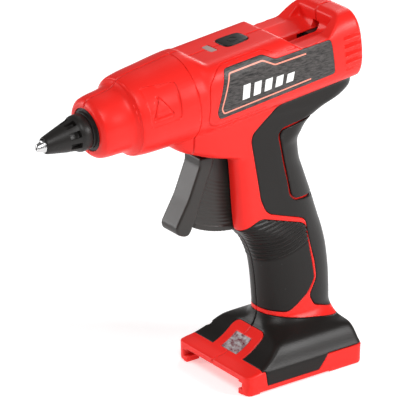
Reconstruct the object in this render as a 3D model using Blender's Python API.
"""Cordless hot glue gun: two moulded shells with soft grips, trigger-driven feed, heater and battery foot.

Everything is drawn in millimetres under one empty, tool_frame, whose scale turns it into metres.
Drawing frame: X runs from nozzle to rear and starts at the foot's front edge, Y runs to the tool's right,
Z runs up from the rails' underside. Barrel pieces use (u, v): u along the barrel from the nozzle's tip and
v across it.
"""

from math import cos, pi, radians, sin, tan

import bmesh
import bpy
from mathutils import Vector

MM = 0.001
ORIGIN_SHIFT = 15.626  # moves the drawing frame so that X = 0 is the middle of the whole tool

# ---- overall sizes
FOOT_END = 93.0
FOOT_LENGTH = 93.0
FOOT_WIDTH = 76.0
HANDLE_WIDTH = 35.0
HANDLE_DEPTH = 54.0
TRIGGER_HOUSING_WIDTH = 40.0
BARREL_LENGTH = 229.0
BARREL_WIDTH = 56.0
BARREL_TILT = radians(6.3)
NOZZLE_TIP_X = -130.5
NOZZLE_TIP_Z = 187.7
STICK_DIAMETER = 11.2

# ---- walls and clearances
GAP = 0.3
SEAM = 0.15
WALL = 3.4
SKIN = 1.6
LABEL_SKIN = 0.8
MOVING_GAP = 0.8
PIECE_GAP = 0.6

# ---- stations along the barrel, from the nozzle's tip
NOSE_U = 36.5
SHOULDER_U = 57.5
ROUND_END_U = 107.0
PLATE_START_U = 116.0
PLATE_END_U = 170.0
NOSE_RADIUS = 19.0
SHOULDER_RADIUS = 25.3
ROUND_RADIUS = 28.6
PLATE_TOP = 22.3
COLLAR_TOP = 23.6
BARREL_BOTTOM = -22.3
LAND_V = 13.0
CHANNEL_V = 8.8
CHANNEL_WIDTH = 34.0
CHANNEL_FLOOR_WIDTH = 10.0
SLOT_WIDTH = 6.5
MID_ROUND_U = 84.0
MID_ROUND_RADIUS = 27.4
COLLAR_LENGTH = 11.0
COLLAR_U = BARREL_LENGTH - COLLAR_LENGTH
SADDLE_START_U = 182.0
SADDLE_END_U = COLLAR_U - 15.0
CHANNEL_START_U = 183.0
CHANNEL_END_U = COLLAR_U - 7.0
SLOT_START_U = 187.0
SLOT_END_U = COLLAR_U - 2.0
NOSE_OPENING = 13.9
CAP_RADIUS = 11.6
CAP_WINDOWS = 8

# ---- feed
BORE = STICK_DIAMETER / 2 + 0.4
CARRIAGE_RADIUS = BORE + 3.3
CARRIAGE_PIN_RADIUS = 2.0
CARRIAGE_FRONT = 12.0
CARRIAGE_REAR = 10.0
CHAMBER_RADIUS = BORE + 3.6
CHAMBER_START_U = 45.0
CHAMBER_END_U = 104.0
NECK_START_U = 98.0
NECK_RADIUS = BORE + 1.9
SLEEVE_END_U = 126.5
SLEEVE_RADIUS = NECK_RADIUS + 1.9
SPRING_SEAT_U = 108.5
SPRING_SEAT_THICKNESS = 2.4
SPRING_RADIUS = 2.6
SPRING_WIRE = 0.45
SPRING_TURNS = 8
JAW_LENGTH = 7.0
JAW_WIDTH = 8.0
JAW_DEPTH = 6.5
GUIDE_START_U = BARREL_LENGTH - 23.0
HEATER_BOX_WIDTH = 15.0
HEATER_BOX_DEPTH = 4.2
HEATER_START_U = 53.0
HEATER_END_U = 88.0
HEATER_SIZE = (28.0, 9.0, 2.4)
CLIP_THICKNESS = 0.9

# ---- trigger
PIVOT_X = 16.0
PIVOT_Z = 178.0
PIN_RADIUS = 2.5
HUB_RADIUS = 7.0
TRIGGER_SWING = radians(18.0)
TRIGGER_WIDTH = 17.5
WEB_WIDTH = 13.0
WEB_RADIUS = 76.0
FORK_THICKNESS = 3.0
FORK_ABOVE_AXIS = 5.0

# ---- controls
BUTTON_U = 148.5
BUTTON_LENGTH = 18.6
BUTTON_WIDTH = 14.5
BUTTON_PROUD = 0.8
BUTTON_TRAVEL = 1.2
WINDOW_U = 131.0
WINDOW_LENGTH = 5.0
WINDOW_WIDTH = 11.0
BOARD_START_U = 123.0
BOARD_END_U = 162.0
BOARD_WIDTH = 25.0
BOARD_THICKNESS = 1.4
BOARD_V = CARRIAGE_RADIUS + 1.0
SWITCH_SIZE = 6.0
SWITCH_HEIGHT = 1.7

# ---- foot
CHANNEL_HALF_WIDTH = FOOT_WIDTH / 2 - 10.0
CHANNEL_HEIGHT = 9.4
LIP_HEIGHT = 3.6
GROOVE_DEPTH = 3.6
BLOCK_SIZE = (26.0, 34.0, 18.0)
BLOCK_X = 66.0
BLOCK_BOTTOM = 2.0
BLADE_SIZE = (20.0, 1.0, 5.0)
BLADE_SPACING = 9.0
FRONT_BLOCK_HALF = 15.4
RAIL_HEIGHT = 13.0
LEAD_RADIUS = 0.9
LEAD_GAP = 0.6

SCREW_SHANK = 1.5
SCREW_HEAD = 3.1
SCREW_HEAD_HEIGHT = 2.2
SCREW_BITE = 10.0
BOSS_RADIUS = 3.6

OUTER_STEPS = 4  # facets round each corner of the outer form
HOLLOW_STEPS = 2


# ---- places that follow from the sizes
HANDLE_BACK = FOOT_END - 4.0
HANDLE_FRONT = HANDLE_BACK - HANDLE_DEPTH
FOOT_FRONT = FOOT_END - FOOT_LENGTH
SLOPE_FRONT = FOOT_FRONT + 9.0  # the slope in front of the handle, which carries the foil label
SLOPE_BACK = HANDLE_FRONT - 6.5
FOIL_FRONT = SLOPE_FRONT + 0.205 * (SLOPE_BACK - SLOPE_FRONT)
FOIL_BACK = SLOPE_FRONT + 0.82 * (SLOPE_BACK - SLOPE_FRONT)
FOIL_HALF_WIDTH = 8.0


def barrel_point(u, v):
    """Drawing-frame (x, z) of a point given along and across the barrel."""
    return (
        NOZZLE_TIP_X + u * cos(BARREL_TILT) - v * sin(BARREL_TILT),
        NOZZLE_TIP_Z + u * sin(BARREL_TILT) + v * cos(BARREL_TILT),
    )


def along_barrel(x, z):
    """(u, v) of a drawing-frame point."""
    dx, dz = x - NOZZLE_TIP_X, z - NOZZLE_TIP_Z
    return (
        dx * cos(BARREL_TILT) + dz * sin(BARREL_TILT),
        dz * cos(BARREL_TILT) - dx * sin(BARREL_TILT),
    )


PIVOT_U, PIVOT_V = along_barrel(PIVOT_X, PIVOT_Z)
LEVER = -PIVOT_V
CARRIAGE_U = PIVOT_U + LEVER * tan(TRIGGER_SWING / 2)
FORK_INNER = CARRIAGE_RADIUS + PIECE_GAP
FORK_OUTER = FORK_INNER + FORK_THICKNESS
SWITCH_TOP = BOARD_V + BOARD_THICKNESS + GAP + SWITCH_HEIGHT

# name, x, z, y of the seat under the head
SHELL_SCREWS = (
    ("shell_screw_nose", *barrel_point(70, 15.0), 13.0),
    ("shell_screw_chamber", *barrel_point(100, -16.0), 13.0),
    ("shell_screw_tail", *barrel_point(188, -16.5), 15.0),
    ("shell_screw_rear", *barrel_point(220, -15.5), 15.0),
    ("shell_screw_grip", 46.0, 88.0, 10.0),
    ("shell_screw_handle", 54.0, 50.0, 10.0),
    ("shell_screw_foot_front", FOOT_FRONT + 24.0, 18.0, 27.0),
    ("shell_screw_foot_rear", FOOT_END - 9.5, 19.0, 27.0),
)


# ---- making helpers
def make_material(name, colour, roughness, metallic=0.0):
    material = bpy.data.materials.new(name)
    material.use_nodes = True
    shader = material.node_tree.nodes["Principled BSDF"]
    shader.inputs["Base Color"].default_value = (*colour, 1)
    shader.inputs["Roughness"].default_value = roughness
    shader.inputs["Metallic"].default_value = metallic
    material.diffuse_color = (*colour, 1)
    return material


def add_object(name, bm, parent=None, material=None):
    """Turns a mesh into an object on the tool. Without a material it is a hidden helper."""
    bmesh.ops.recalc_face_normals(bm, faces=bm.faces)
    mesh = bpy.data.meshes.new(name)
    bm.to_mesh(mesh)
    bm.free()
    obj = bpy.data.objects.new(name, mesh)
    bpy.context.scene.collection.objects.link(obj)
    obj.parent = parent or TOOL
    finish_object(obj, material)
    return obj


def finish_object(obj, material):
    if material is None:
        obj.hide_render = True
        obj.display_type = "WIRE"
        return
    obj.data.materials.append(material)
    if obj.type == "MESH":
        obj.data.shade_smooth()
        obj.data.set_sharp_from_angle(angle=radians(35))


def add_empty(name, x=0.0, z=0.0, turn=0.0, parent=None):
    empty = bpy.data.objects.new(name, None)
    bpy.context.scene.collection.objects.link(empty)
    empty.parent = parent
    empty.location = (x, 0, z)
    empty.rotation_euler = (0, turn, 0)
    return empty


def loft(name, loops, parent=None, material=None):
    """Skins a row of matching loops and closes both ends."""
    bm = bmesh.new()
    rings = [[bm.verts.new(point) for point in loop] for loop in loops]
    for near, far in zip(rings, rings[1:]):
        for i in range(len(near)):
            j = (i + 1) % len(near)
            bm.faces.new((near[i], near[j], far[j], far[i]))
    bmesh.ops.triangulate(bm, faces=bm.faces)
    bm.faces.new(rings[0])
    bm.faces.new(rings[-1])
    return add_object(name, bm, parent, material)


def prism(name, outline, low, high, parent=None, material=None):
    """An outline in X and Z, drawn out along Y from low to high."""
    return loft(name, [[(x, y, z) for x, z in outline] for y in (low, high)], parent, material)


def box(name, low, high, parent=None, material=None):
    (x0, y0, z0), (x1, y1, z1) = low, high
    return prism(name, ((x0, z0), (x1, z0), (x1, z1), (x0, z1)), y0, y1, parent, material)


def turned(name, profile, parent=None, material=None, steps=20, about="X", centre=(0, 0, 0)):
    """Spins a closed outline of (distance along, radius) about an axis through the centre."""
    axis = Vector((1, 0, 0)) if about == "X" else Vector((0, 1, 0))
    bm = bmesh.new()
    points = [Vector((a, 0, r)) if about == "X" else Vector((0, a, r)) for a, r in profile]
    verts = [bm.verts.new(point + Vector(centre)) for point in points]
    on_axis = [radius == 0 for _, radius in profile]
    edges = [
        bm.edges.new((verts[i - 1], verts[i])) for i in range(len(verts)) if not (on_axis[i - 1] and on_axis[i])
    ]
    bmesh.ops.spin(
        bm, geom=verts + edges, cent=centre, axis=axis, angle=2 * pi, steps=steps, use_merge=True
    )
    bmesh.ops.remove_doubles(bm, verts=bm.verts, dist=1e-4)
    return add_object(name, bm, parent, material)


def rod(name, radius, low, high, parent=None, material=None, steps=16, about="X", centre=(0, 0, 0)):
    profile = ((low, 0), (low, radius), (high, radius), (high, 0))
    return turned(name, profile, parent, material, steps, about, centre)


def combine(obj, operation, *tools, solver="EXACT"):
    for tool in tools:
        modifier = obj.modifiers.new(f"{operation.lower()} {tool.name}", "BOOLEAN")
        modifier.operation = operation
        modifier.solver = solver
        modifier.object = tool


def cut(obj, *tools, solver="EXACT"):
    combine(obj, "DIFFERENCE", *tools, solver=solver)


def join(obj, *tools):
    combine(obj, "UNION", *tools)


def keep(obj, *tools):
    combine(obj, "INTERSECT", *tools, solver="MANIFOLD")


def grown(outline, distance):
    """The outline moved outwards by a distance; its points run anticlockwise in X and Z."""
    moved = []
    count = len(outline)
    for i in range(count):
        before = Vector(outline[i]) - Vector(outline[i - 1])
        after = Vector(outline[(i + 1) % count]) - Vector(outline[i])
        normals = [Vector((edge.y, -edge.x)).normalized() for edge in (before, after)]
        middle = (normals[0] + normals[1]).normalized()
        moved.append(Vector(outline[i]) + middle * (distance / max(middle.dot(normals[0]), 0.5)))
    return [tuple(point) for point in moved]


def section(low, high, half_width, low_corner, high_corner, exponent=2.3, steps=OUTER_STEPS):
    """A closed loop of (along, across). Each corner is (length along, length across) of a rounded end."""
    middle = (low + high) / 2
    loop = []
    corners = ((high, high_corner, 1), (low, low_corner, -1))
    quarter = [i / steps * pi / 2 for i in range(steps + 1)]
    for end, (length, width), side in corners:
        length = min(length, abs(end - middle) - 0.5) if abs(end - middle) > 1 else 0.5
        width = min(width, half_width - 0.5)
        arc = [
            (
                end - side * length * (1 - cos(angle) ** (2 / exponent)),
                half_width - width * (1 - sin(angle) ** (2 / exponent)),
            )
            for angle in quarter
        ]
        if side < 0:
            arc.reverse()
        loop += arc
    return loop + [(along, -across) for along, across in reversed(loop)]


# ---- the tool's outer form
def grip_levels():
    """Height, front, back, half width, front corner, rear corner and the way its wall leans, level by level."""
    foot, rail = FOOT_WIDTH / 2, RAIL_HEIGHT
    handle, house = HANDLE_WIDTH / 2, TRIGGER_HOUSING_WIDTH / 2
    front, back = HANDLE_FRONT, HANDLE_BACK
    deep = HANDLE_DEPTH / 2
    square, blunt = (6.0, 6.0), (10.0, 8.0)
    return (
        (0.0, FOOT_FRONT, FOOT_END, foot, square, square, 1),
        (rail, FOOT_FRONT, FOOT_END, foot, square, square, -1),
        (rail + 1.5, SLOPE_FRONT, FOOT_END - 0.7, foot - 0.9, square, square, -1),
        (26.0, SLOPE_BACK, FOOT_END - 3.5, foot - 7.6, (8, 8), (8, 8), -1),
        (28.5, front - 3.5, FOOT_END - 5.5, foot - 11.5, (14, 12), (12, 12), -1),
        (32.0, front - 1.5, back, handle + 3.0, (deep - 6, handle), (deep - 6, handle), -1),
        (38.0, front, back, handle, (deep, handle), (deep, handle), 0),
        (53.0, front - 1.0, back - 0.5, handle, (deep, handle), (deep, handle), 0),
        (74.0, front - 4.0, back - 3.0, handle, (deep, handle), (deep, handle), 0),
        (89.0, front - 10.0, back - 7.0, handle + 0.5, (deep, handle), (deep, handle), 0),
        (98.0, 17.5, 78.5, house - 1.2, (18, 14), (deep, house), 0),
        (105.0, 9.5, 76.0, house - 0.8, (14, 10), (deep, house), 0),
        (115.0, 8.0, 72.5, house - 0.5, blunt, (deep, house), 0),
        (132.0, 6.5, 66.0, house, blunt, (deep, house), 0),
        (144.0, 5.5, 62.0, house, blunt, (deep, house), 0),
        (154.0, 4.0, 61.0, house, blunt, (deep, house), 0),
        (158.5, -14.0, 61.5, house, (18, 12), (22, house), 1),
        (161.0, -21.0, 62.5, house, (24, 13), (20, 18), 1),
        (165.0, -31.0, 65.0, house, (30, 14), (20, 18), 1),
        (169.0, -36.5, 69.0, house, (34, 15), (20, 17), 1),
        (175.0, -42.0, 80.0, house, (36, 16), (20, 16), 1),
        (180.0, -45.0, 93.0, house + 0.5, (38, 17), (20, 15), 1),
        (186.0, -46.0, 99.0, house + 0.5, (40, 17), (18, 14), 0),
        (194.0, -46.0, 99.5, house + 0.5, (40, 17), (18, 14), 0),
    )


def grip_form(name, inset, steps):
    loops = []
    for height, front, back, half, front_corner, rear_corner, lean in grip_levels():
        level = height + lean * inset
        shape = section(
            front + inset,
            back - inset,
            half - inset,
            [max(side - inset, 1.5) for side in front_corner],
            [max(side - inset, 1.5) for side in rear_corner],
            steps=steps,
        )
        loops.append([(along, across, level) for along, across in shape])
    return loft(name, loops)


def barrel_stations():
    """Distance along, half width, bottom, top, bottom corner, top corner and squareness, station by station."""
    half = BARREL_WIDTH / 2

    def round_station(u, radius):
        return (u, radius, -radius, radius, (radius, radius), (radius, radius), 2.0)

    def plate_station(u, top, trim=0.0):
        low_corner, high_corner = (22.0, half - 15.0), (22.0, half - 13.0)
        return (u, half - trim, BARREL_BOTTOM + trim, top - trim, low_corner, high_corner, 2.6)

    return (
        round_station(NOSE_U, NOSE_RADIUS - 2.6),
        round_station(NOSE_U + 2.0, NOSE_RADIUS),
        round_station(SHOULDER_U, NOSE_RADIUS + 2.3),
        round_station(SHOULDER_U + 4.5, SHOULDER_RADIUS),
        round_station(MID_ROUND_U, MID_ROUND_RADIUS),
        round_station(ROUND_END_U, ROUND_RADIUS),
        plate_station(PLATE_START_U, PLATE_TOP),
        plate_station(SADDLE_END_U + 1.0, PLATE_TOP),
        plate_station(COLLAR_U, COLLAR_TOP),
        plate_station(BARREL_LENGTH - 3.0, COLLAR_TOP),
        plate_station(BARREL_LENGTH, COLLAR_TOP, 2.6),
    )


def barrel_form(name, inset, steps):
    stations = barrel_stations()
    loops = []
    for u, half, bottom, top, low_corner, high_corner, exponent in stations:
        at = min(max(u, NOSE_U + inset), BARREL_LENGTH - inset)
        shape = section(
            bottom + inset,
            top - inset,
            half - inset,
            [side - inset for side in low_corner],
            [side - inset for side in high_corner],
            exponent,
            steps,
        )
        if loops and at <= loops[-1][0][0]:
            at = loops[-1][0][0] + 0.4
        loops.append([(at, across, along) for along, across in shape])
    return loft(name, loops, BARREL)


def scoop(name, lower, wider):
    """The sunken saddle behind the top plate, with the deeper channel along its middle."""
    land, floor = LAND_V - lower, CHANNEL_V - lower
    saddle = prism(
        name,
        (
            (PLATE_END_U - wider, 40),
            (PLATE_END_U - wider, PLATE_TOP + 1),
            (SADDLE_START_U - wider, land),
            (SADDLE_END_U + wider, land),
            (COLLAR_U + wider, COLLAR_TOP + 1),
            (COLLAR_U + wider, 40),
        ),
        -40,
        40,
        BARREL,
    )
    loops = []
    for v, front, back, half in (
        (floor, CHANNEL_START_U, CHANNEL_END_U, CHANNEL_FLOOR_WIDTH / 2),
        (land + 0.2, CHANNEL_START_U - 4.5, CHANNEL_END_U + 2.6, CHANNEL_WIDTH / 2),
        (30, CHANNEL_START_U - 4.5, CHANNEL_END_U + 2.6, CHANNEL_WIDTH / 2),
    ):
        front, back, half = front - wider, back + wider, half + wider
        loops.append([(front, -half, v), (back, -half, v), (back, half, v), (front, half, v)])
    channel = loft(name + "_channel", loops, BARREL)
    join(saddle, channel)
    return saddle


def whole_form(name, inset, steps=OUTER_STEPS):
    """The whole outer form, or the same form inside a wall of the given thickness."""
    form = barrel_form(name, inset, steps)
    join(form, grip_form(name + "_grip", inset, steps))
    cut(form, scoop(name + "_scoop", inset, inset))
    return form


# ---- outlines of the soft grips and labels, anticlockwise in X and Z
UPPER_GRIP = (
    (108, 193.2), (38, 185.4), (34, 183.4), (16.5, 169.5), (15.2, 165), (21, 135), (23, 124), (27, 115.5),
    (31, 112), (56, 103.5), (59.6, 101), (63.6, 86), (68.4, 70), (70.2, 58), (65, 47.6), (104, 37),
)
PALM_PAD = ((104, 168.5), (61, 170), (40, 167), (37.4, 164), (47.5, 121), (51, 118), (104, 112))
LOWER_GRIP = (
    (0, 104), (8, 101.4), (20, 109), (25, 110), (56, 100), (60.2, 97), (66, 72), (68.6, 58), (63, 49), (49, 38.6),
    (34, 41), (21, 49), (10, 60),
)
FOOT_SHROUD = (
    (FOOT_FRONT + 16, 4.2), (FOOT_END - 36, 4.2), (FOOT_END - 28.5, 13.4), (110, 13.4), (110, 31), (60, 33),
    (31, 38.5), (FOOT_FRONT + 12, 38.5), (FOOT_FRONT + 12, 14.2), (FOOT_FRONT + 14.4, 14.2),
)
LABEL_INNER_EDGE = BARREL_WIDTH / 2 - 6.0
LABEL_END_U = COLLAR_U - 14.0
SIDE_LABEL = (
    (114, -7), (116, -12), (LABEL_END_U + 1, -11), (LABEL_END_U, 12), (161, 13), (153, 18), (124, 18),
)


def anticlockwise(outline):
    area = sum(a[0] * b[1] - b[0] * a[1] for a, b in zip(outline, outline[1:] + outline[:1]))
    return outline if area > 0 else tuple(reversed(outline))


def skin_piece(name, side, outline, parent, under, material, holes=(), inner_edge=SEAM):
    """A skin on one side: the outer form inside an outline, down to the form below it."""
    low, high = (-60, -inner_edge) if side < 0 else (inner_edge, 60)
    piece = prism(name, anticlockwise(outline), low, high, parent, material)
    keep(piece, OUTER)
    cut(piece, under, *holes, solver="MANIFOLD")
    return piece


def recess(name, outline, parent, floor, inner_edge=0.0):
    """What the shells lose so that a skin can lie in them."""
    tool = prism(name, grown(anticlockwise(outline), GAP), -60, 60, parent)
    cut(tool, floor)
    if inner_edge:
        half = inner_edge - GAP
        cut(tool, box(name + "_middle", (-10, -half, -60), (BARREL_LENGTH + 20, half, 60), parent))
    return tool


# ---- start
for obj in list(bpy.data.objects):
    bpy.data.objects.remove(obj)

RED = make_material("red_housing", (0.80, 0.017, 0.013), 0.38)
SOFT = make_material("soft_grip", (0.022, 0.019, 0.017), 0.62)
BLACK = make_material("black_plastic", (0.012, 0.012, 0.012), 0.4)
TRIGGER_GREY = make_material("trigger_grey", (0.07, 0.06, 0.055), 0.5)
LABEL = make_material("label_plate", (0.05, 0.048, 0.05), 0.42, 0.2)
FOIL = make_material("foil_label", (0.62, 0.62, 0.62), 0.35, 0.5)
STEEL = make_material("steel", (0.6, 0.6, 0.6), 0.3, 1.0)
ALLOY = make_material("cast_alloy", (0.55, 0.56, 0.57), 0.4, 1.0)
COPPER = make_material("copper_blade", (0.75, 0.45, 0.22), 0.3, 1.0)
SILICONE = make_material("silicone", (0.016, 0.016, 0.017), 0.7)
CLEAR = make_material("smoked_window", (0.03, 0.03, 0.035), 0.12)
CERAMIC = make_material("ceramic", (0.75, 0.72, 0.66), 0.6)
BOARD = make_material("board_green", (0.02, 0.16, 0.07), 0.45)
LEAD_RED = make_material("lead_red", (0.6, 0.02, 0.02), 0.45)
LEAD_BLACK = make_material("lead_black", (0.02, 0.02, 0.02), 0.45)
LIGHT = make_material("status_light", (0.8, 0.8, 0.7), 0.3)

TOOL = add_empty("tool_frame", x=ORIGIN_SHIFT * MM)
TOOL.scale = (MM, MM, MM)
BARREL = add_empty("barrel_axis", NOZZLE_TIP_X, NOZZLE_TIP_Z, -BARREL_TILT, TOOL)
TRIGGER_AXIS = add_empty("trigger_axis", PIVOT_X, PIVOT_Z, 0, TOOL)

OUTER = whole_form("outer_form", 0.0)
SKIN_UNDER = whole_form("skin_under", SKIN)
SKIN_FLOOR = whole_form("skin_floor", SKIN + GAP)
LABEL_UNDER = whole_form("label_under", LABEL_SKIN)
LABEL_FLOOR = whole_form("label_floor", LABEL_SKIN + GAP)


# ---- the hollow inside the shells, less the ribs and bosses that stand in it
def rib(name, u, thickness, hole_radius, low=-40.0, high=40.0):
    plate = box(name, (u, -40, low), (u + thickness, 40, high), BARREL)
    cut(plate, rod(name + "_hole", hole_radius, u - 5, u + thickness + 5, BARREL, steps=16))
    return plate


def hollow_form():
    hollow = whole_form("hollow", WALL, HOLLOW_STEPS)
    below = box("below_hollow", (-20, -60, -20), (120, 60, CHANNEL_HEIGHT + 2.4), TOOL)
    guide_radius = BORE + 2.2 + GAP
    ribs = [
        rib("front_cradle", CHAMBER_START_U + 2, 2.2, CHAMBER_RADIUS + GAP),
        rib("rear_cradle", HEATER_END_U + 6.5, 1.8, CHAMBER_RADIUS + GAP, high=4.0),
        rib("spring_seat", SPRING_SEAT_U, SPRING_SEAT_THICKNESS, SLEEVE_RADIUS + GAP, high=4.0),
        rib("guide_cradle", GUIDE_START_U + 3, 2.2, guide_radius, high=5.0),
    ]
    rails = box(
        "board_rails", (BOARD_START_U + 2, -40, BOARD_V - 1.6), (BOARD_END_U - 2, 40, BOARD_V + 4), BARREL
    )
    between_rails = BOARD_WIDTH / 2 - 1.5
    rail_gap = box(
        "board_rail_gap", (BOARD_START_U, -between_rails, 0), (BOARD_END_U, between_rails, 30), BARREL
    )
    cut(rails, rail_gap)
    bosses = [
        rod(f"boss_{name}", BOSS_RADIUS, -60, 60, TOOL, steps=10, about="Y", centre=(x, 0, z))
        for name, x, z, _ in SHELL_SCREWS
    ]
    pin_boss = rod("pin_boss", PIN_RADIUS + 3, -60, 60, TOOL, steps=16, about="Y", centre=(PIVOT_X, 0, PIVOT_Z))
    between = box("between_pin_bosses", (-20, -FORK_OUTER - GAP, 150), (50, FORK_OUTER + GAP, 200), TOOL)
    cut(pin_boss, between)
    cut(hollow, below, *ribs, rails, *bosses, pin_boss)
    return hollow


def button_outline(grow=0.0):
    """The button's plan, a rounded rectangle that narrows a little towards the rear."""
    long, wide = BUTTON_LENGTH / 2 + grow, BUTTON_WIDTH / 2 + grow
    loop = []
    for i in range(20):
        angle = 2 * pi * (i + 0.5) / 20
        along = abs(cos(angle)) ** 0.5 * (1 if cos(angle) > 0 else -1)
        across = abs(sin(angle)) ** 0.5 * (1 if sin(angle) > 0 else -1)
        loop.append((BUTTON_U + along * long, across * wide * (1 - 0.06 * along)))
    return loop


def upright(name, outline, low, high, parent=None, material=None):
    """An outline along and across the barrel, drawn up from low to high."""
    return loft(name, [[(u, y, v) for u, y in outline] for v in (low, high)], parent, material)


def window_outline(grow=0.0):
    long, wide = WINDOW_LENGTH / 2 + grow, WINDOW_WIDTH / 2 + grow
    return [(WINDOW_U + a * long, b * wide) for a, b in ((-1, -1), (1, -1), (1, 1), (-1, 1))]


def web_arc(radius, start, stop, steps=8):
    """Points of an arc about the trigger's pivot; angles are from straight down, towards the rear."""
    angles = [start + (stop - start) * i / steps for i in range(steps + 1)]
    return [(PIVOT_X + radius * sin(a), PIVOT_Z - radius * cos(a)) for a in angles]


def trigger_slot():
    """The opening at the front of the handle that the trigger swings into."""
    half = TRIGGER_WIDTH / 2 + MOVING_GAP
    arc = web_arc(WEB_RADIUS + MOVING_GAP + 0.3, radians(-30), radians(6), 6)
    outline = arc + [(24, 112), (24, 170), (-3, 170), (-8, 164.5), (-19, 161), (-24, 150)]
    return prism("trigger_slot", outline, -half, half, TOOL)


def foot_cuts():
    channel_end = BLOCK_X + BLOCK_SIZE[0] / 2 + 1.5
    channel = box(
        "battery_channel", (-5, -CHANNEL_HALF_WIDTH, -5), (channel_end, CHANNEL_HALF_WIDTH, CHANNEL_HEIGHT), TOOL
    )
    half = CHANNEL_HALF_WIDTH + GROOVE_DEPTH
    groove = box("rail_groove", (-5, -half, LIP_HEIGHT), (channel_end - 4, half, CHANNEL_HEIGHT - 1.2), TOOL)
    length, width, height = BLOCK_SIZE
    well = box(
        "terminal_well",
        (BLOCK_X - length / 2 - GAP, -width / 2 - GAP, 3),
        (BLOCK_X + length / 2 + GAP, width / 2 + GAP, 15),
        TOOL,
    )
    relief = box("rail_relief", (FOOT_FRONT + 10, -50, -5), (BLOCK_X, 50, 1.2), TOOL)
    return [channel, groove, well, relief]


def heater_room():
    """Room in the shells for the heater's block and its clip."""
    half = HEATER_BOX_WIDTH / 2 + CLIP_THICKNESS + 2 * GAP
    bottom = -CHAMBER_RADIUS - HEATER_BOX_DEPTH - CLIP_THICKNESS - 2 * GAP
    return box("heater_room", (HEATER_START_U - GAP, -half, bottom), (HEATER_END_U + GAP, half, 0), BARREL)


def make_shells():
    hollow = hollow_form()
    recesses = [
        recess("upper_recess", UPPER_GRIP, TOOL, SKIN_FLOOR),
        recess("lower_recess", LOWER_GRIP, TOOL, SKIN_FLOOR),
        recess("shroud_recess", FOOT_SHROUD, TOOL, SKIN_FLOOR),
        recess("label_recess", SIDE_LABEL, BARREL, LABEL_FLOOR, LABEL_INNER_EDGE),
    ]
    cut(recesses[2], FRONT_BLOCK)
    nose = rod("nose_opening", NOSE_OPENING, NOSE_U - 5, NOSE_U + 8, BARREL, steps=24)
    inlet = rod("inlet_opening", BORE + 2.2 + GAP, 200, BARREL_LENGTH + 5, BARREL, steps=24)
    inlet_seat = rod("inlet_seat", BORE + 4.6 + GAP, BARREL_LENGTH - 2.2, BARREL_LENGTH + 5, BARREL, steps=24)
    slot = box("stick_slot", (SLOT_START_U, -SLOT_WIDTH / 2, 0), (SLOT_END_U, SLOT_WIDTH / 2, 14), BARREL)
    button_hole = upright("button_opening", button_outline(GAP + 0.1), 15, 40, BARREL)
    window_hole = upright("window_opening", window_outline(GAP), 15, 40, BARREL)
    board_gap = box(
        "board_gap",
        (BOARD_START_U - GAP, -BOARD_WIDTH / 2 - GAP, BOARD_V - GAP),
        (BOARD_END_U + GAP, BOARD_WIDTH / 2 + GAP, BOARD_V + BOARD_THICKNESS + GAP),
        BARREL,
    )
    pin_bore = rod("pin_bore", PIN_RADIUS + GAP, -FORK_OUTER - 4, FORK_OUTER + 4, TOOL,
                   steps=16, about="Y", centre=(PIVOT_X, 0, PIVOT_Z))
    foil_seat = box("foot_label_seat", (FOIL_FRONT - GAP, -FOIL_HALF_WIDTH - GAP, 12),
                    (FOIL_BACK + GAP, FOIL_HALF_WIDTH + GAP, 40), TOOL)
    cut(foil_seat, LABEL_FLOOR)
    shared = [foil_seat, hollow, heater_room(), *recesses, nose, inlet, inlet_seat, slot]
    shared += [button_hole, window_hole, board_gap, pin_bore, TRIGGER_SLOT, *foot_cuts()]
    for name, side in (("housing_left", -1), ("housing_right", 1)):
        low, high = (-60, -SEAM) if side < 0 else (SEAM, 60)
        shell = box(name, (-160, low, -10), (160, high, 260), TOOL, RED)
        keep(shell, OUTER)
        cut(shell, *shared, solver="MANIFOLD")
        for screw, x, z, seat in SHELL_SCREWS:
            centre = (x, 0, z)
            if side < 0:
                hole = rod(f"pilot_{screw}", SCREW_SHANK + GAP, -SCREW_BITE - 1, 5, TOOL,
                           steps=10, about="Y", centre=centre)
            else:
                hole = turned(
                    f"clearance_{screw}",
                    ((-5, 0), (-5, SCREW_SHANK + GAP), (seat, SCREW_SHANK + GAP), (seat, SCREW_HEAD + GAP),
                     (60, SCREW_HEAD + GAP), (60, 0)),
                    TOOL, steps=10, about="Y", centre=centre,
                )
            cut(shell, hole, solver="MANIFOLD")


def make_skins():
    palm_gap = prism("palm_gap", grown(anticlockwise(PALM_PAD), 1.3), -60, 60, TOOL)
    for side_name, side in (("left", -1), ("right", 1)):
        holes = HEAD_HOLES if side > 0 else ()
        upper_holes = (palm_gap, TAIL_LIMIT, *holes)
        skin_piece(f"upper_grip_{side_name}", side, UPPER_GRIP, TOOL, SKIN_UNDER, SOFT, upper_holes)
        skin_piece(f"palm_pad_{side_name}", side, PALM_PAD, TOOL, SKIN_UNDER, SOFT, holes)
        skin_piece(f"lower_grip_{side_name}", side, LOWER_GRIP, TOOL, SKIN_UNDER, SOFT, (TRIGGER_SLOT, *holes))
        skin_piece(f"foot_shroud_{side_name}", side, FOOT_SHROUD, TOOL, SKIN_UNDER, SOFT, (FRONT_BLOCK_GAP, *holes))
        skin_piece(f"side_label_{side_name}", side, SIDE_LABEL, BARREL, LABEL_UNDER, LABEL, holes, LABEL_INNER_EDGE)


def make_foot_label():
    label = box("foot_label", (FOIL_FRONT, -FOIL_HALF_WIDTH, 12), (FOIL_BACK, FOIL_HALF_WIDTH, 40), TOOL, FOIL)
    keep(label, OUTER)
    cut(label, LABEL_UNDER)


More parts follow.
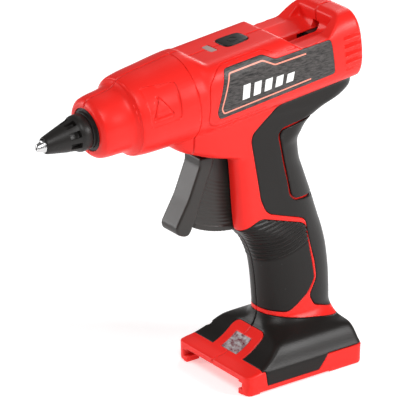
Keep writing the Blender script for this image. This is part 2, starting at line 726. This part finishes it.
def make_screws():
    for name, x, z, seat in SHELL_SCREWS:
        under_head = seat + GAP
        profile = (
            (-SCREW_BITE, 0), (-SCREW_BITE, SCREW_SHANK), (under_head, SCREW_SHANK), (under_head, SCREW_HEAD),
            (under_head + SCREW_HEAD_HEIGHT, SCREW_HEAD), (under_head + SCREW_HEAD_HEIGHT, 0),
        )
        turned(name, profile, TOOL, STEEL, steps=10, about="Y", centre=(x, 0, z))


# ---- nozzle, heating and stick path
def make_nozzle():
    tip_end = CHAMBER_START_U - GAP
    turned(
        "nozzle_tip",
        ((0, 0.8), (0, 2.3), (5, 3.9), (6, 3.9), (30, 6.4), (tip_end, 6.4), (tip_end, 2.6), (20, 2.0), (5, 0.8)),
        BARREL, STEEL,
    )
    cap = turned(
        "nozzle_cap",
        ((5.4, 4.25), (5.4, 5.2), (27.5, CAP_RADIUS - 1.2), (28.5, CAP_RADIUS), (34, CAP_RADIUS), (34, 6.8),
         (30, 6.75), (6.2, 4.25)),
        BARREL, SILICONE, steps=24,
    )
    for i in range(CAP_WINDOWS):
        holder = add_empty(f"cap_window_turn_{i}", parent=BARREL)
        holder.rotation_euler = (2 * pi * (i + 0.5) / CAP_WINDOWS, 0, 0)
        cut(cap, box(f"cap_window_{i}", (22.5, -1.5, 8.1), (26.5, 1.5, 14), holder))
    turned(
        "nose_ring",
        ((34.4, 6.9), (34.4, CAP_RADIUS), (NOSE_U + 0.6, CAP_RADIUS), (NOSE_U + 0.6, NOSE_OPENING - GAP),
         (CHAMBER_START_U - 1.2, NOSE_OPENING - GAP), (CHAMBER_START_U - 1.2, 6.9)),
        BARREL, SILICONE, steps=24,
    )


def make_heating():
    chamber = turned(
        "heating_chamber",
        ((CHAMBER_START_U, 2.6), (CHAMBER_START_U, CHAMBER_RADIUS), (NECK_START_U - 0.5, CHAMBER_RADIUS),
         (NECK_START_U - 0.5, NECK_RADIUS), (CHAMBER_END_U, NECK_RADIUS), (CHAMBER_END_U, BORE),
         (CHAMBER_START_U + 9, BORE), (CHAMBER_START_U + 4, 2.6)),
        BARREL, ALLOY,
    )
    half = HEATER_BOX_WIDTH / 2
    bottom = -CHAMBER_RADIUS - HEATER_BOX_DEPTH
    block = box("heater_block", (HEATER_START_U, -half, bottom), (HEATER_END_U, half, -BORE - 1.2), BARREL)
    length, width, height = HEATER_SIZE
    middle = bottom + 1.2 + GAP + height / 2
    end = HEATER_END_U - 2
    pocket = box(
        "heater_pocket",
        (end - length - GAP, -width / 2 - GAP, middle - height / 2 - GAP),
        (HEATER_END_U + 2, width / 2 + GAP, middle + height / 2 + GAP),
        BARREL,
    )
    join(chamber, block)
    cut(chamber, pocket)
    box("heater_element", (end - length, -width / 2, middle - height / 2), (end, width / 2, middle + height / 2),
        BARREL, CERAMIC)
    around = GAP + CLIP_THICKNESS
    low, high = (60, -half - around, bottom - around), (80, half + around, bottom + 3.6)
    clip = box("heater_clip", low, high, BARREL, STEEL)
    cut(clip, box("clip_inside", (50, -half - GAP, bottom - GAP), (90, half + GAP, 0), BARREL))
    turned(
        "inlet_sleeve",
        ((NECK_START_U + GAP, NECK_RADIUS + GAP), (NECK_START_U + GAP, SLEEVE_RADIUS), (106, SLEEVE_RADIUS),
         (108, SLEEVE_RADIUS - 0.9), (SLEEVE_END_U, SLEEVE_RADIUS - 0.9), (SLEEVE_END_U, BORE + 0.1),
         (CHAMBER_END_U + GAP, BORE + 0.1), (CHAMBER_END_U + GAP, NECK_RADIUS + GAP)),
        BARREL, SILICONE,
    )
    inner = SLEEVE_RADIUS + GAP
    turned("sleeve_ring", ((99.5, inner), (99.5, inner + 0.9), (103, inner + 0.9), (103, inner)), BARREL, STEEL)
    guide = BORE + 2.2
    flange_front = BARREL_LENGTH - 2.2 + GAP
    turned(
        "rear_stick_guide",
        ((GUIDE_START_U, BORE), (GUIDE_START_U, guide), (flange_front, guide), (flange_front, guide + 2.4),
         (BARREL_LENGTH, guide + 2.4), (BARREL_LENGTH, BORE + 1.4), (BARREL_LENGTH - 1.6, BORE)),
        BARREL, BLACK,
    )


# ---- the moving feed
def fork_point(out, aside):
    """A barrel-frame point, out from the pivot along the fork and aside from its middle line."""
    lean = TRIGGER_SWING / 2
    return (
        PIVOT_U + out * sin(lean) + aside * cos(lean),
        PIVOT_V + out * cos(lean) - aside * sin(lean),
    )


def make_trigger():
    trigger = rod("trigger", HUB_RADIUS, -FORK_OUTER, FORK_OUTER, TRIGGER_AXIS, TRIGGER_GREY, steps=20, about="Y")
    half = TRIGGER_WIDTH / 2
    plate = prism(
        "trigger_plate",
        ((-16, 157), (-15.2, 153), (-34, 114), (-32.4, 110.6), (-28, 108), (-25, 107.2), (-22.4, 109), (-9, 143),
         (-5.5, 151), (-5, 156.4)),
        -half, half, TOOL,
    )
    web = prism(
        "trigger_web",
        web_arc(WEB_RADIUS, radians(-27.5), radians(7))
        + [(22, 174), (10, 181), (-7, 156.6), (-12, 146), (-22, 116)],
        -WEB_WIDTH / 2, WEB_WIDTH / 2, TOOL,
    )
    reach = LEVER / cos(TRIGGER_SWING / 2)
    slot_half = CARRIAGE_PIN_RADIUS + 0.45
    arm_half = slot_half + 2.6
    top = reach + FORK_ABOVE_AXIS
    arm_outline = [fork_point(*p) for p in ((-3, -arm_half), (-3, arm_half), (top, arm_half), (top, -arm_half))]
    slot_outline = [
        fork_point(*p)
        for p in ((reach - 4, -slot_half), (reach - 4, slot_half), (top + 2, slot_half), (top + 2, -slot_half))
    ]
    arms = [
        prism(f"fork_arm_{name}", arm_outline, low, high, BARREL)
        for name, low, high in (("left", -FORK_OUTER + 0.05, -FORK_INNER), ("right", FORK_INNER, FORK_OUTER - 0.05))
    ]
    hole = rod("trigger_hole", PIN_RADIUS + GAP, -FORK_OUTER - 5, FORK_OUTER + 5, TRIGGER_AXIS, steps=16, about="Y")
    join(trigger, plate, web, *arms)
    cut(trigger, prism("fork_slot", slot_outline, -40, 40, BARREL), hole)
    rod("trigger_pin", PIN_RADIUS, -FORK_OUTER - 3.5, FORK_OUTER + 3.5, TOOL, STEEL,
        steps=16, about="Y", centre=(PIVOT_X, 0, PIVOT_Z))


def make_carriage():
    front, rear = CARRIAGE_U - CARRIAGE_FRONT, CARRIAGE_U + CARRIAGE_REAR
    carriage = rod("feed_carriage", CARRIAGE_RADIUS, front, rear, BARREL, BLACK, steps=24)
    pins = rod("carriage_pins", CARRIAGE_PIN_RADIUS, -FORK_OUTER, FORK_OUTER, BARREL,
               steps=10, about="Y", centre=(CARRIAGE_U, 0, 0))
    stick_way = rod("carriage_bore", BORE, front - 5, rear + 5, BARREL, steps=20)
    jaw_front = CARRIAGE_U - CARRIAGE_FRONT + 3.5
    jaw_rear = jaw_front + JAW_LENGTH
    half = JAW_WIDTH / 2
    jaw_way = box("jaw_way", (jaw_front - GAP, -half - GAP, -20), (jaw_rear + GAP, half + GAP, -1), BARREL)
    join(carriage, pins)
    cut(carriage, stick_way, jaw_way)
    bottom, bite = -CARRIAGE_RADIUS - JAW_DEPTH, -BORE - GAP
    prism(
        "clamp_jaw",
        ((jaw_front, bottom), (jaw_rear - 2, bottom), (jaw_rear, bottom + 3), (jaw_rear, bite),
         (jaw_rear - 2.2, bite - 1.2), (jaw_rear - 3.4, bite), (jaw_front, bite - 1.4)),
        -half, half, BARREL, STEEL,
    )
    seat = SPRING_SEAT_U + SPRING_SEAT_THICKNESS + GAP + SPRING_WIRE
    make_spring(seat, jaw_front - GAP - SPRING_WIRE, bottom + SPRING_RADIUS + SPRING_WIRE)


def make_spring(start, end, height):
    """A helix along the barrel, whose first and last turns lie flat."""
    curve = bpy.data.curves.new("return_spring", "CURVE")
    curve.dimensions = "3D"
    curve.bevel_depth = SPRING_WIRE
    curve.bevel_resolution = 0
    curve.use_fill_caps = True
    steps = SPRING_TURNS * 8
    spline = curve.splines.new("POLY")
    spline.points.add(steps)
    for i, point in enumerate(spline.points):
        turn = i / steps * SPRING_TURNS
        closed = 1.2 * SPRING_WIRE * 2
        free = end - start - 2 * closed
        along = start + closed * min(turn, 1) + free * min(max(turn - 1, 0) / (SPRING_TURNS - 2), 1)
        along += closed * max(turn - SPRING_TURNS + 1, 0)
        angle = 2 * pi * turn
        point.co = (along, SPRING_RADIUS * sin(angle), height + SPRING_RADIUS * cos(angle), 1)
    spring = bpy.data.objects.new("return_spring", curve)
    bpy.context.scene.collection.objects.link(spring)
    spring.parent = BARREL
    finish_object(spring, STEEL)


# ---- switch, light and board
def make_controls():
    plate_under = PLATE_TOP - WALL
    button = upright("power_button", button_outline(), plate_under - 0.6, PLATE_TOP + BUTTON_PROUD, BARREL, SOFT)
    join(
        button,
        upright("button_flange", button_outline(1.1), plate_under - 2.0, plate_under - GAP, BARREL),
        box("button_stem", (BUTTON_U - 1.6, -1.6, SWITCH_TOP + BUTTON_TRAVEL + GAP),
            (BUTTON_U + 1.6, 1.6, plate_under - 1), BARREL),
    )
    window = upright("led_window", window_outline(), plate_under - 0.6, PLATE_TOP - 0.1, BARREL, CLEAR)
    join(window, upright("window_flange", window_outline(1.1), plate_under - 2.0, plate_under - GAP, BARREL))
    half = BOARD_WIDTH / 2
    top = BOARD_V + BOARD_THICKNESS
    box("control_board", (BOARD_START_U, -half, BOARD_V), (BOARD_END_U, half, top), BARREL, BOARD)
    size = SWITCH_SIZE / 2
    box("tact_switch", (BUTTON_U - size, -size, top + GAP), (BUTTON_U + size, size, SWITCH_TOP), BARREL, BLACK)
    box("status_led", (WINDOW_U - 1.6, -1.6, top + GAP), (WINDOW_U + 1.6, 1.6, top + GAP + 1.8), BARREL, LIGHT)


def make_terminals():
    length, width, height = BLOCK_SIZE
    front = BLOCK_X - length / 2
    block = box("terminal_block", (front, -width / 2, BLOCK_BOTTOM),
                (front + length, width / 2, BLOCK_BOTTOM + height), TOOL, BLACK)
    blade_length, thick, tall = BLADE_SIZE
    for i, name in enumerate(("left", "middle", "right")):
        y = (i - 1) * BLADE_SPACING
        low = (front + 8 - blade_length, y - thick / 2, BLOCK_BOTTOM + 1.4)
        high = (front + 8, y + thick / 2, BLOCK_BOTTOM + 1.4 + tall)
        box(f"contact_blade_{name}", low, high, TOOL, COPPER)
        cut(block, box(f"blade_slot_{name}", [c - GAP for c in low], [c + GAP for c in high], TOOL))


# ---- leads
def smooth_route(points, steps=2):
    """Points of a Catmull-Rom curve through the route's points."""
    path = []
    ends = [points[0], *points, points[-1]]
    for a, b, c, d in zip(ends, ends[1:], ends[2:], ends[3:]):
        for i in range(steps):
            t = i / steps
            path.append([
                0.5 * (2 * q + (r - p) * t + (2 * p - 5 * q + 4 * r - s) * t * t + (3 * q - p - 3 * r + s) * t ** 3)
                for p, q, r, s in zip(a, b, c, d)
            ])
    return [*path, points[-1]]


def make_lead(name, route, material):
    curve = bpy.data.curves.new(name, "CURVE")
    curve.dimensions = "3D"
    curve.bevel_depth = LEAD_RADIUS
    curve.bevel_resolution = 1
    curve.use_fill_caps = True
    path = smooth_route(route)
    spline = curve.splines.new("POLY")
    spline.points.add(len(path) - 1)
    for point, place in zip(spline.points, path):
        point.co = (*place, 1)
    lead = bpy.data.objects.new(name, curve)
    bpy.context.scene.collection.objects.link(lead)
    lead.parent = TOOL
    finish_object(lead, material)


def make_leads():
    block_top = BLOCK_BOTTOM + BLOCK_SIZE[2] + GAP
    board_level = BOARD_V + BOARD_THICKNESS / 2
    beside = FORK_OUTER + 1.6
    heater_v = -CHAMBER_RADIUS - HEATER_BOX_DEPTH + 1.2 + GAP + HEATER_SIZE[2] / 2
    heater_end = HEATER_END_U - 2 + GAP
    for name, side, material in (("positive", 1, LEAD_RED), ("negative", -1, LEAD_BLACK)):
        handle = [
            (60, 6, block_top), (60.5, 6, 28), (63, 5, 38), (66, 5, 55), (66, 5, 75), (64, 6, 90), (61, 7, 105),
            (56.5, 8, 125), (53, 9, 145), (49, 11, 165), (43, 13, 182),
        ]
        route = [(x, side * y, z) for x, y, z in handle]
        to_board = (
            (167, beside, -6), (167.5, beside - 1, 4), (166.5, 9, board_level - 0.8),
            (BOARD_END_U + LEAD_GAP, 6, board_level),
        )
        for u, y, v in to_board:
            x, z = barrel_point(u, v)
            route.append((x, side * y, z))
        make_lead(f"supply_lead_{name}", route, material)
        heat = (
            (BOARD_START_U - LEAD_GAP, 5, board_level), (118, 8, board_level + 0.3), (112, 11, 9.5), (104, 12, 8),
            (96, 12, 7), (92, 13, 2), (91.2, 13.4, -4), (91, 10, -10), (90.4, 5, heater_v),
            (heater_end, 2.4, heater_v),
        )
        route = []
        for u, y, v in heat:
            x, z = barrel_point(u, v)
            route.append((x, side * y, z))
        make_lead(f"heater_lead_{name}", route, material)


def front_block(name, gap):
    """The middle of the foot's front, which stays bare between the two shrouds."""
    half = FRONT_BLOCK_HALF + gap
    return box(name, (-10, -half, 0), (HANDLE_FRONT - 4 + gap, half, 60), TOOL)


FRONT_BLOCK = front_block("front_block", 0.0)
FRONT_BLOCK_GAP = front_block("front_block_gap", GAP)
TAIL_LIMIT = box("tail_limit", (BARREL_LENGTH - 3, -60, -60), (BARREL_LENGTH + 30, 60, 40), BARREL)
TRIGGER_SLOT = trigger_slot()
HEAD_HOLES = [
    rod(f"skin_hole_{screw}", SCREW_HEAD + GAP, seat - 1, 60, TOOL, steps=10, about="Y", centre=(x, 0, z))
    for screw, x, z, seat in SHELL_SCREWS
]
make_shells()
make_skins()
make_foot_label()
make_screws()
make_nozzle()
make_heating()
make_trigger()
make_carriage()
make_controls()
make_terminals()
make_leads()
